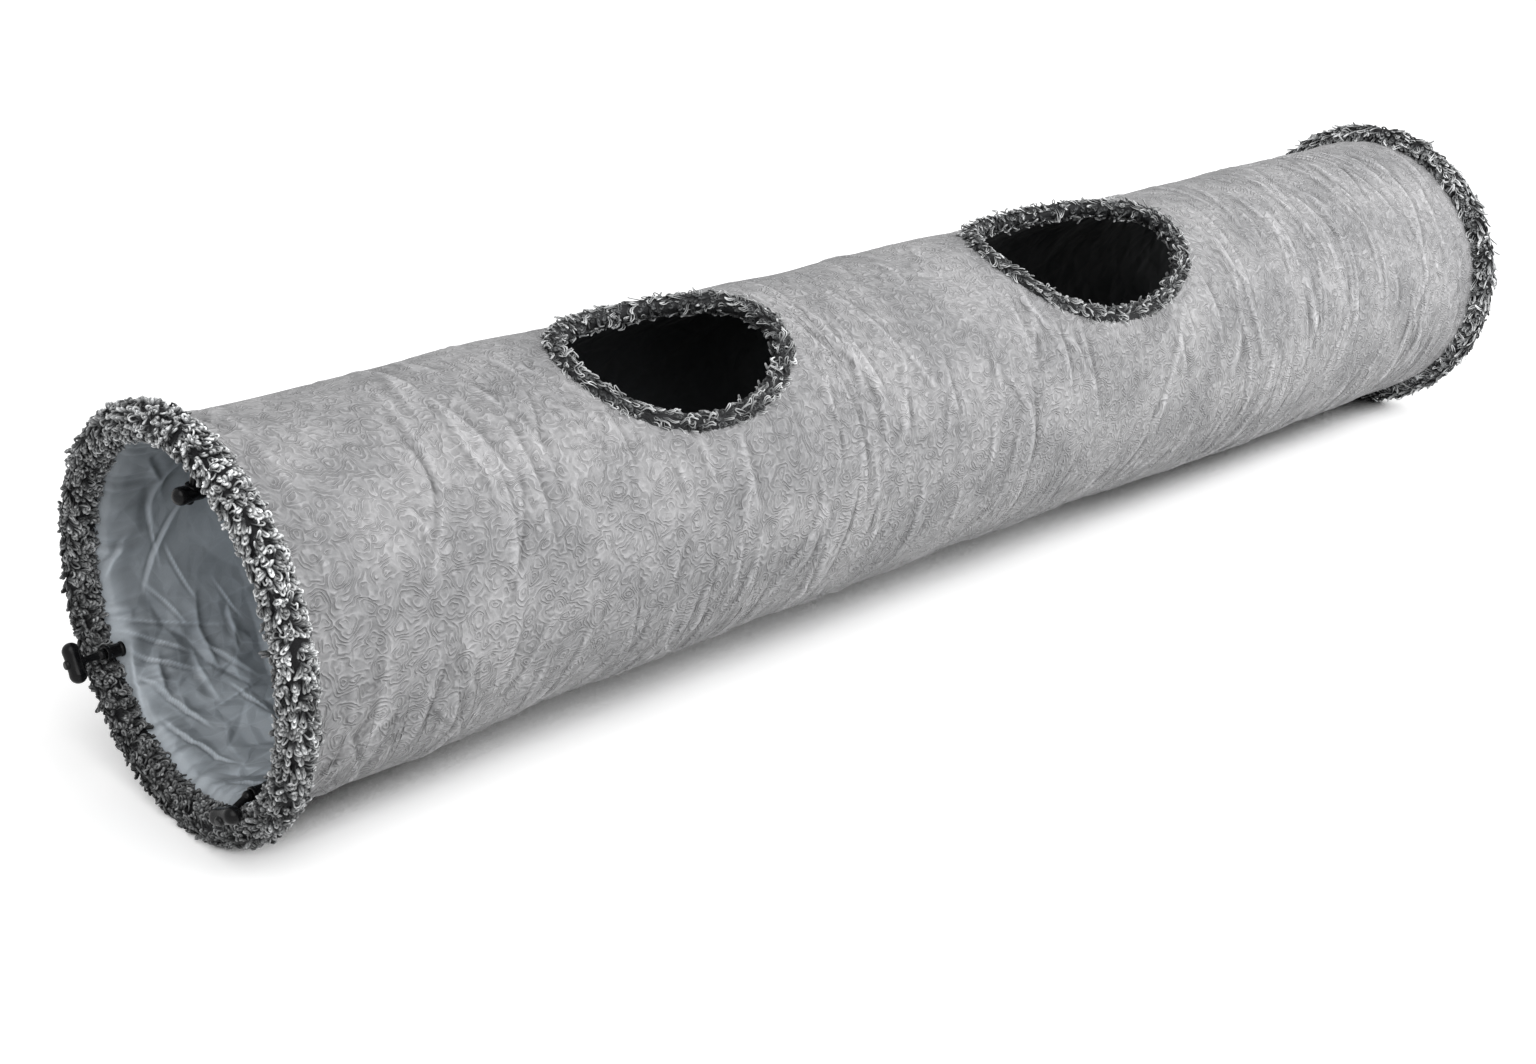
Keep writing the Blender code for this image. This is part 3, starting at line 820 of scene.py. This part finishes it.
def crumples(rng, place, clock, count):
    """Facets round seeded points, 0 along the valleys between them and about 1 in the middle."""
    spacing = math.sqrt(RIM_SPACING * 2 * math.pi * LINING_INNER / count)
    nearest = np.full(np.broadcast(place, clock).shape, 1.0)
    second = nearest.copy()
    seeds = zip(rng.uniform(0, RIM_SPACING, count), rng.uniform(-math.pi, math.pi, count))
    for seed_place, seed_clock in seeds:
        distance = np.hypot(place - seed_place, wrap(clock - seed_clock) * LINING_INNER)
        second = np.minimum(second, np.maximum(nearest, distance))
        nearest = np.minimum(nearest, distance)
    return np.clip((second - nearest) / spacing, 0, 1.2)


def make_lining(material):
    """The crumpled inner cloth, seen through the mouths."""
    rng = np.random.default_rng(23)
    ends = [start - 1e-6 for start, _ in LINING_ROWS[1:]] + [RIM_SPACING - COVER_END]
    places = [np.arange(start, end, step) for (start, step), end in zip(LINING_ROWS, ends)]
    cloth = Cloth(np.concatenate(places), LINING_STEP)
    place, clock = cloth.place, cloth.clock
    cloth.lift += LINING_SAG * between_wires(wire_phase(place, clock))
    low = LINING_UPPER + (1 - LINING_UPPER) * below(clock, *CRUMPLED_BELOW)
    patches = smoothstep(-0.6, 0.6, waves(rng, place, clock, *LINING_PATCHES))
    rim_gap = np.minimum(place, RIM_SPACING - place)
    free = smoothstep(0.0, 0.020, rim_gap)
    bent_place = place + waves(rng, place, clock, *LINING_SHIFT)
    bent_clock = clock + waves(rng, place, clock, *LINING_TWIST)
    facets = CRUMPLE_HEIGHT * crumples(rng, bent_place, bent_clock, CRUMPLES)
    facets += np.abs(waves(rng, bent_place, bent_clock, *LINING_VALLEYS))
    cloth.lift += low * (0.55 + 0.45 * patches) * facets * free
    cloth.lift += (LINING_RIPPLES[0] + waves(rng, place, clock, *LINING_RIPPLES)) * free
    scatter_strokes(cloth, rng, low + 0 * place, *LINING_CREASES)
    for start, end, width, height, bend in LINING_FOLDS:
        cloth.fold(start, end, 0.55 * width, 0.42 * height, bend)
    gathers = np.abs(waves(rng, place, clock, *LINING_GATHERS))
    cloth.lift += gathers * bell(rim_gap - 0.016, 0.018)
    for hole in HOLES:
        cloth.lift *= smoothstep(0.004, 0.030, hole_distance(hole, place, clock))
    lift = np.clip(cloth.lift, 0.0, LINING_LIFT)
    flare = LINING_FLARE * (1 - smoothstep(0.002, 0.012, rim_gap))
    lining, used = cloth.build("lining_cloth", material, LINING_INNER + flare - lift)
    # Painted light and shade in the lining's colour: dark deep inside, lighter farther from the
    # mouths and darker under the tunnel's top.
    dark = smoothstep(*DARK_FROM_NEAR, place) * smoothstep(*DARK_FROM_FAR, RIM_SPACING - place)
    tone = LINING_LIGHT[0] + (LINING_LIGHT[1] - LINING_LIGHT[0]) * smoothstep(*LINING_LIGHT_SPAN, rim_gap)
    tone = tone * (UNDER_TOP + (1 - UNDER_TOP) * below(clock, *LIT_BELOW))
    lit = tone * (1 - (1 - DEEP_SHADE) * dark)
    for label, values in (("lit", lit), ("crumpled", low * free)):
        set_value(lining, label, np.broadcast_to(values, lift.shape).ravel()[used])
    declare_cloth("lining")
    return lining


def make_wire(material):
    """The spring wire that holds the tunnel open."""
    count = len(TURN_PLACES) - 1
    turns = np.linspace(0, count, 72 * count + 1)
    place = np.interp(turns, range(count + 1), TURN_PLACES)
    path = on_tunnel(place, COIL_CLOCK + turns * 2 * math.pi, COIL_RADIUS)
    wire = new_piece("spring_wire", *tube(path, WIRE_RADIUS, 8), material)
    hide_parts("spring_coil")
    return wire


# Pile.

def loop_meshes(kind, root, rise, side, up, hug, height, spread, yarn, curl, wave):
    """Many hairpin loops of yarn: points, faces and a painted light level for each point, pale on
    the outer side of each loop's crest and dark at its roots.
    """
    t = np.linspace(0, 1, kind["points"])
    swell = np.sin(math.pi * t)
    normal = np.cross(rise, side)[:, None]
    root, rise, side, up, hug, height, spread, yarn, curl, wave = (
        values[:, None] for values in (root, rise, side, up, hug, height, spread, yarn, curl, wave))
    reach = height * swell ** 0.75
    swing = (wave * np.sin(2 * math.pi * swell ** 0.75)
             - spread * np.cos(math.pi * t) * (0.55 + 0.9 * swell))
    centre = (root + rise * reach[..., None] - up * (hug * reach ** 2)[..., None]
              + side * swing[..., None] + normal * (curl * swell ** 2)[..., None])
    along = unit(np.gradient(centre, axis=1))
    first = unit(np.cross(along, normal))
    second = np.cross(along, first)
    turn = circle(kind["sides"])[:, None]
    ring = first[:, :, None] * np.cos(turn) + second[:, :, None] * np.sin(turn)
    thick = yarn * (0.75 + 0.35 * swell)
    mesh_points = (centre[:, :, None] + thick[..., None, None] * ring).reshape(-1, 3)
    offsets = np.arange(len(root))[:, None, None] * (kind["points"] * kind["sides"])
    faces = (tube_faces(kind["points"], kind["sides"]) + offsets).reshape(-1, 4)
    # Painted light: the side of the yarn that faces out of the pile is paler, and painted shade
    # darkens each loop towards its roots.
    facing = 0.5 + 0.5 * (ring * up[:, None]).sum(axis=-1)
    tip = (swell ** kind["power"])[:, None] * (0.2 + 0.8 * facing)
    return mesh_points, faces, tip.ravel()


def make_pile(name, node, place, clock, radius, spec, seed, material):
    """A roll of looped pile round a closed path, which runs so that its front faces out."""
    rng = np.random.default_rng(seed)
    path = on_tunnel(place, clock, radius)
    along = unit(np.roll(path, -1, axis=0) - np.roll(path, 1, axis=0))
    outward = np.stack([0 * clock, -np.sin(clock), np.cos(clock)], axis=-1)
    outward = unit(outward - along * (outward * along).sum(axis=1, keepdims=True))
    front = np.cross(along, outward)
    count, core_radius = len(path), spec["core"]
    section = circle(CORE_SIDES)[:, None]
    lumps = core_radius * (1 + CORE_LUMPS * rng.standard_normal((count, CORE_SIDES)))
    core = path[:, None] + lumps[..., None] * (outward[:, None] * np.cos(section)
                                               + front[:, None] * np.sin(section))
    parts = [(core.reshape(-1, 3), tube_faces(count, CORE_SIDES, closed=True))]
    # The core takes its own low level, painted shade deep in the pile.
    tips, shades = [np.full(count * CORE_SIDES, spec["core_tip"])], [np.ones(count * CORE_SIDES)]
    length = np.linalg.norm(np.roll(path, -1, axis=0) - path, axis=1).sum()
    for kind in spec["kinds"]:
        rows = round(2 * math.pi * core_radius / kind["step"])
        places = round(length / kind["step"])
        row, spot = np.meshgrid(np.arange(rows), np.arange(places), indexing="ij")
        turn = ((row + rng.uniform(-0.45, 0.45, row.shape)) * 2 * math.pi / rows).ravel()
        spot = spot + 0.5 * (row % 2) + rng.uniform(-0.45, 0.45, row.shape)
        spot = (spot / places * count).ravel()
        free = ~(np.abs(wrap(turn - spec["bare"][0])) < spec["bare"][1])
        turn, spot = turn[free], spot[free]
        index = np.floor(spot).astype(int) % count
        share = (spot - np.floor(spot))[:, None]
        middle = path[index] * (1 - share) + path[(index + 1) % count] * share
        t_dir, o_dir, f_dir = along[index], outward[index], front[index]
        turn_cos, turn_sin = np.cos(turn)[:, None], np.sin(turn)[:, None]
        normal = o_dir * turn_cos + f_dir * turn_sin
        around = -o_dir * turn_sin + f_dir * turn_cos
        amount = len(turn)
        angle = np.clip(kind["comb"] * wrap(turn - spec["parting"]), -1.2, 1.2)
        angle = angle + rng.normal(0, kind["unruly"], amount)
        down = np.where(t_dir[:, 2] > 0, -1.0, 1.0) if spec["downwards"] else 1.0
        down = down * rng.choice((-1, 1), amount, p=(AGAINST, 1 - AGAINST))
        lie = t_dir * (np.cos(angle) * down)[:, None] + around * np.sin(angle)[:, None]
        lean = rng.uniform(*kind["lean"], amount)[:, None]
        rise = normal * np.sin(lean) + lie * np.cos(lean)
        roll = rng.uniform(-kind["roll"], kind["roll"], amount)[:, None]
        flat_side = unit(np.cross(normal, lie))
        side = flat_side * np.cos(roll) + np.cross(rise, flat_side) * np.sin(roll)
        root = middle + normal * (core_radius - ROOT_DEPTH)
        height, spread, yarn = (rng.uniform(*kind[size], amount)
                                for size in ("height", "spread", "yarn"))
        curl = rng.normal(0, kind["curl"], amount)
        shade = np.clip(rng.normal(1.0, kind["shade"], amount), 0.35, 1.9)
        # Painted light and shade round the ring: lighter on top and on the -Y side, darker below
        # and on the +Y side.
        side_light = 1.2 * o_dir[:, 2] - 0.8 * o_dir[:, 1]
        shade = shade * (spec["level"] + spec["painted_side_light"] * side_light)
        hug = HUG * np.sin(angle) ** 2 / (2 * core_radius)
        wave = rng.normal(0, kind["wave"], amount)
        for size in kind["strands"]:
            points, faces, tip = loop_meshes(kind, root, rise, side, normal, hug,
                                             height * (0.4 + 0.6 * size), spread * size,
                                             yarn, curl, wave)
            parts.append((points, faces))
            tips.append(kind["tip"][0] + (kind["tip"][1] - kind["tip"][0]) * tip)
            strand_shade = shade * rng.uniform(0.75, 1.25, amount)
            shades.append(np.repeat(strand_shade, kind["points"] * kind["sides"]))
    points, faces = join_parts(parts)
    points[:, 2] = np.maximum(points[:, 2], FLOOR_CLEARANCE)
    pile = new_piece(name, points, faces, material)
    set_value(pile, "tip", np.concatenate(tips))
    set_value(pile, "shade", np.concatenate(shades))
    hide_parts(node)
    return pile


def make_hole_pile(number, hole, material):
    """The looped pile round a hole."""
    place, clock = hole_outline(hole, -circle(300))
    return make_pile(f"hole_pile_{number}", f"hole_binding_{number}", place, clock,
                     HOLE_RING_RADIUS, HOLE_RING, 40 + number, material)


# Toggles.

def ball_profile(middle, radius, start, end, steps):
    angles = np.linspace(start, end, steps + 1)
    return [(middle + radius * math.cos(a), radius * math.sin(a)) for a in angles]


def make_sleeve(number, frame_matrix, material):
    """The moulded sleeve that the toggle's ball sits in, with a lip at each end."""
    lip, waist = SLEEVE_RADIUS, SLEEVE_RADIUS - 0.0005
    profile = [(0.006, 0.0), (0.006, 0.0030), (SLEEVE_MOUTH, SEAT_RADIUS - 0.0004),
               (SLEEVE_MOUTH, lip), (SLEEVE_MOUTH + 0.0022, lip), (SLEEVE_MOUTH + 0.0028, waist),
               (SLEEVE_BACK - 0.0024, waist), (SLEEVE_BACK - 0.0018, lip), (SLEEVE_BACK, lip),
               (SLEEVE_BACK, 0.0)]
    sleeve = new_piece(f"sleeve_{number}", *lathe(rounded(profile, 0.0006), 40), material)
    place_piece(sleeve, frame_matrix, "near_end", f"toggle_sleeve_{number}")


def make_stem(number, frame_matrix, material):
    """Ball, waisted stem and the foot that holds the bar."""
    neck = math.pi - math.asin(STEM_RADIUS / BALL_RADIUS)
    profile = [(-STEM_REACH, 0.0), (-STEM_REACH, STEM_RADIUS + 0.0004),
               (-STEM_REACH + BAR_RADIUS, STEM_RADIUS - 0.0004), (-0.0038, STEM_RADIUS - 0.0001)]
    profile += ball_profile(0.0, BALL_RADIUS, neck, 0.0, 14)
    stem = new_piece(f"stem_{number}", *lathe(rounded(profile, 0.0015), 32), material)
    place_piece(stem, frame_matrix, f"toggle_{number}", f"toggle_stem_{number}")


def make_bar(number, frame_matrix, material):
    """The cross bar with domed ends, a mould line and a boss round the stem."""
    half = BAR_LENGTH / 2 - BAR_RADIUS
    right = ball_profile(half, BAR_RADIUS, math.pi / 2, 0.0, 12)
    left = [(-x, r) for x, r in reversed(right)]
    waist = [(x, BAR_RADIUS - 0.0004 * math.cos(math.pi / 2 * x / half))
             for x in np.linspace(-half, half, 9)]
    points, faces = lathe(left[:-1] + waist + right[1:], 40)
    line = np.abs(np.arctan2(points[:, 2], points[:, 1]))
    points[:, 1:] *= (1 + 0.012 * bell(np.minimum(line, math.pi - line), 0.10))[:, None]
    points = points[:, [1, 0, 2]] * (-1, 1, 1)
    boss = lathe(rounded([(0.0, 0.0040), (BAR_RADIUS - 0.0002, 0.0040),
                          (BAR_RADIUS + 0.0003, 0.0034), (BAR_RADIUS + 0.0003, 0.0025)],
                         0.0003), 32)
    nub = lathe(rounded([(-BAR_RADIUS - 0.0010, 0.0), (-BAR_RADIUS - 0.0010, 0.0026),
                         (-BAR_RADIUS + 0.0006, 0.0032), (0.0, 0.0032)], 0.0006), 32)
    bar = new_piece(f"bar_{number}", *join_parts([(points, faces), boss, nub]), material)
    place_piece(bar, frame_matrix, f"bar_{number}", f"toggle_bar_{number}")


def make_toggles(material):
    """The three toggles inside the near rim."""
    for number, (pivot, lean, turn) in enumerate(TOGGLES, 1):
        sleeve = tunnel_frame(*pivot)
        stem = sleeve @ Matrix.Rotation(-lean, 4, "Y")
        bar = stem @ Matrix.Translation((-STEM_REACH, 0, 0)) @ Matrix.Rotation(turn, 4, "X")
        make_sleeve(number, sleeve, material)
        make_stem(number, stem, material)
        make_bar(number, bar, material)


# Closing loops.

def make_closing_loop(number, clock, elastic, tape):
    """An elastic loop sewn under a tab of tape, inside the far rim."""
    straight, sides = LOOP_REACH - LOOP_HALF_WIDTH, 12
    arms = np.linspace(LOOP_ROOT, -straight, 12)[:-1]
    path = [(x, LOOP_HALF_WIDTH, 0.0) for x in arms]
    path += [(-straight + LOOP_HALF_WIDTH * math.cos(a), LOOP_HALF_WIDTH * math.sin(a), 0.0)
             for a in np.linspace(math.pi / 2, 3 * math.pi / 2, 25)]
    path += [(x, -LOOP_HALF_WIDTH, 0.0) for x in arms[::-1]]
    frame_matrix = tunnel_frame(clock, RIM_SPACING, LOOP_RADIUS)
    path = [frame_matrix @ Vector(p) for p in path]
    loop = new_piece(f"elastic_loop_{number}", *tube(path, LOOP_CORD_RADIUS, sides), elastic)
    steps = [(after - before).length for before, after in zip(path, path[1:])]
    lengths = np.concatenate([[0], np.cumsum(steps)])[:, None]
    girth = 2 * math.pi * LOOP_CORD_RADIUS / sides
    uv = [np.stack(np.broadcast_arrays(lengths[r:len(steps) + r], (np.arange(sides) + s) * girth),
                   axis=-1) for r, s in CORNERS]
    set_uv(loop, np.stack(uv, axis=2))
    place_piece(loop, Matrix(), "far_end", f"closing_loop_{number}")
    make_tab(number, frame_matrix, tape)
    make_stitches(number, frame_matrix, elastic)


def make_tab(number, frame_matrix, tape):
    """The tape over the loop's two ends, with softened edges and a faint ripple below."""
    across = np.linspace(-TAB_HALF_WIDTH, TAB_HALF_WIDTH, 37)
    along = np.linspace(-TAB_LENGTH / 2, TAB_LENGTH / 2, 13)
    x, y = np.meshgrid(along, across, indexing="ij")
    edge = np.minimum(TAB_LENGTH / 2 - np.abs(x), TAB_HALF_WIDTH - np.abs(y))
    soft = 0.0004 * (1 - smoothstep(0.0, 0.0007, edge))
    upper = np.stack([x, y, TAB_TOP - soft], axis=-1)
    under = TAB_TOP - TAB_THICKNESS + soft - 0.000075 * np.sin(1500 * y)
    lower = np.stack([x, y, under], axis=-1)
    index = np.arange(x.size).reshape(x.shape)
    quads = [index[:-1, :-1], index[:-1, 1:], index[1:, 1:], index[1:, :-1]]
    quads = np.stack(quads, axis=-1).reshape(-1, 4)
    border = np.concatenate([index[0], index[1:, -1], index[-1, -2::-1], index[-2:0:-1, 0]])
    after = np.roll(border, -1)
    wall = np.stack([border, after, after + index.size, border + index.size], axis=-1)
    points = np.concatenate([upper.reshape(-1, 3), lower.reshape(-1, 3)])
    faces = np.concatenate([quads[:, ::-1], quads + index.size, wall])
    tab = new_piece(f"tab_{number}", points, faces, tape)
    place_piece(tab, frame_matrix, "far_end", f"loop_tab_{number}")


def make_stitches(number, frame_matrix, thread):
    """Two rows of stitches across the tab."""
    parts = []
    share = np.linspace(0, 1, 6)
    sunk = (TAB_TOP - TAB_THICKNESS - 0.6 * THREAD_RADIUS
            + 2 * THREAD_RADIUS * np.abs(2 * share - 1) ** 3)
    for row in (-STITCH_ROW, STITCH_ROW):
        for spot in np.arange(-TAB_HALF_WIDTH + 0.0015, TAB_HALF_WIDTH - 0.001, STITCH_STEP):
            path = np.stack([np.full(6, row), spot + STITCH_LENGTH * share, sunk], axis=-1)
            parts.append(tube(path, THREAD_RADIUS, 6))
    stitches = new_piece(f"tab_stitches_{number}", *join_parts(parts), thread)
    place_piece(stitches, frame_matrix, "far_end")


# Setting.

def seen_directly(n):
    """1 for the camera, for reflections and through glass, 0 for the light between things."""
    path = n.add("LightPath", {})
    total = path.outputs["Is Camera Ray"]
    for name in ("Is Glossy Ray", "Is Transmission Ray"):
        total = n.math("MAXIMUM", total, path.outputs[name])
    return total


def floor_material():
    """A matt floor. Seen directly, it glows where it lies open and is painted darker close to
    things, a painted shadow over the lamps' own.
    """
    n = Nodes("pale_floor")
    n.tree.nodes.remove(n.shader)
    open_sky = n.add("AmbientOcclusion", {"Distance": SHADOW_REACH}, samples=SKY_RAYS)
    openness = open_sky.outputs["AO"]
    shade = n.ramp(openness, *((place, (level, level, level)) for place, level in CONTACT_SHADE))
    glow = n.span(openness, *GLOW_FROM, 0.0, FLOOR_GLOW, shape="LINEAR")
    matt = n.add("BsdfDiffuse", {"Color": (FLOOR_BOUNCE, FLOOR_BOUNCE, FLOOR_BOUNCE, 1)})
    seen = n.add("BsdfDiffuse", {"Color": shade})
    light = n.add("Emission", {"Strength": glow})
    both = n.add("AddShader", {0: seen.outputs[0], 1: light.outputs[0]})
    sockets = {"Fac": seen_directly(n), 1: matt.outputs[0], 2: both.outputs[0]}
    surface = n.tree.nodes["Material Output"].inputs["Surface"]
    n.put(n.add("MixShader", sockets).outputs[0], surface)
    return n.material


def make_floor():
    """A pale floor that melts into the background and keeps the shadow."""
    size = 12.0
    corners = [(-size, -size, 0), (size, -size, 0), (size, size, 0), (-size, size, 0)]
    new_piece("floor", corners, [(0, 1, 2, 3)], floor_material())


def add_lamp(name, kind, energy, back):
    """A lamp that shines from the direction back."""
    lamp = bpy.data.lights.new(name, kind)
    lamp.energy = energy
    holder = bpy.data.objects.new(name, lamp)
    holder.rotation_euler = Vector(back).to_track_quat("Z", "Y").to_euler()
    bpy.context.scene.collection.objects.link(holder)
    return lamp, holder


def make_lights():
    """A broad soft light from the front, and a weaker one by the far end."""
    main_lamp, _ = add_lamp("softbox", "SUN", LIGHT_POWER, LIGHT_FROM)
    main_lamp.angle = LIGHT_BREADTH
    fill, holder = add_lamp("fill", "AREA", FILL_POWER, FILL_PLACE - FILL_AIM)
    fill.size = FILL_SIZE
    holder.location = FILL_PLACE


def make_world():
    """An even white sky, dimmer as a light than it looks."""
    n = Nodes("studio", bpy.data.worlds.new("studio"))
    sockets = n.tree.nodes["Background"].inputs
    n.put((1, 1, 1, 1), sockets["Color"])
    n.put(n.span(seen_directly(n), 0.0, 1.0, SKY_LEVEL, 1.0, shape="LINEAR"), sockets["Strength"])
    bpy.context.scene.world = n.material


def make_camera():
    """The photograph's viewpoint."""
    data = bpy.data.cameras.new("camera")
    data.lens = CAMERA_LENS
    data.sensor_width = 36.0
    data.shift_x, data.shift_y = CAMERA_SHIFT
    camera = bpy.data.objects.new("camera", data)
    camera.matrix_world = (Matrix.Translation(CAMERA_TARGET)
                           @ Matrix.Rotation(CAMERA_AZIMUTH, 4, "Z")
                           @ Matrix.Rotation(math.pi / 2 - CAMERA_ELEVATION, 4, "X")
                           @ Matrix.Rotation(CAMERA_ROLL, 4, "Z")
                           @ Matrix.Translation((0, 0, CAMERA_DISTANCE)))
    bpy.context.scene.collection.objects.link(camera)
    bpy.context.scene.camera = camera


def main():
    yarn, steel = pile_material(), steel_material()
    plastic, elastic, tape = moulded_material(), braid_material(), tape_material()
    clock = circle(360)
    near = make_pile("near_rim_pile", "near_rim_binding", 0.0, clock, RIM_RADIUS,
                     NEAR_RIM, 31, yarn)
    far = make_pile("far_rim_pile", "far_rim_binding", RIM_SPACING, -clock, RIM_RADIUS,
                    FAR_RIM, 37, yarn)
    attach(near, "near_end")
    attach(far, "far_end")
    soft = [make_cover(cover_material()), make_lining(lining_material()), make_wire(steel)]
    soft += [make_hole_pile(number, hole, yarn) for number, hole in enumerate(HOLES, 1)]
    for piece in soft:
        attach(piece, "near_end")
        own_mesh(piece)
    make_toggles(plastic)
    for number, (pivot, _, _) in enumerate(TOGGLES, 1):
        make_closing_loop(number, pivot[0], elastic, tape)
    for name in ("near_rim_hoop", "far_rim_hoop"):
        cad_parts[name].material_slots[0].material = steel
    make_floor()
    make_lights()
    make_world()
    make_camera()
    bpy.context.scene.view_settings.view_transform = "Standard"


main()
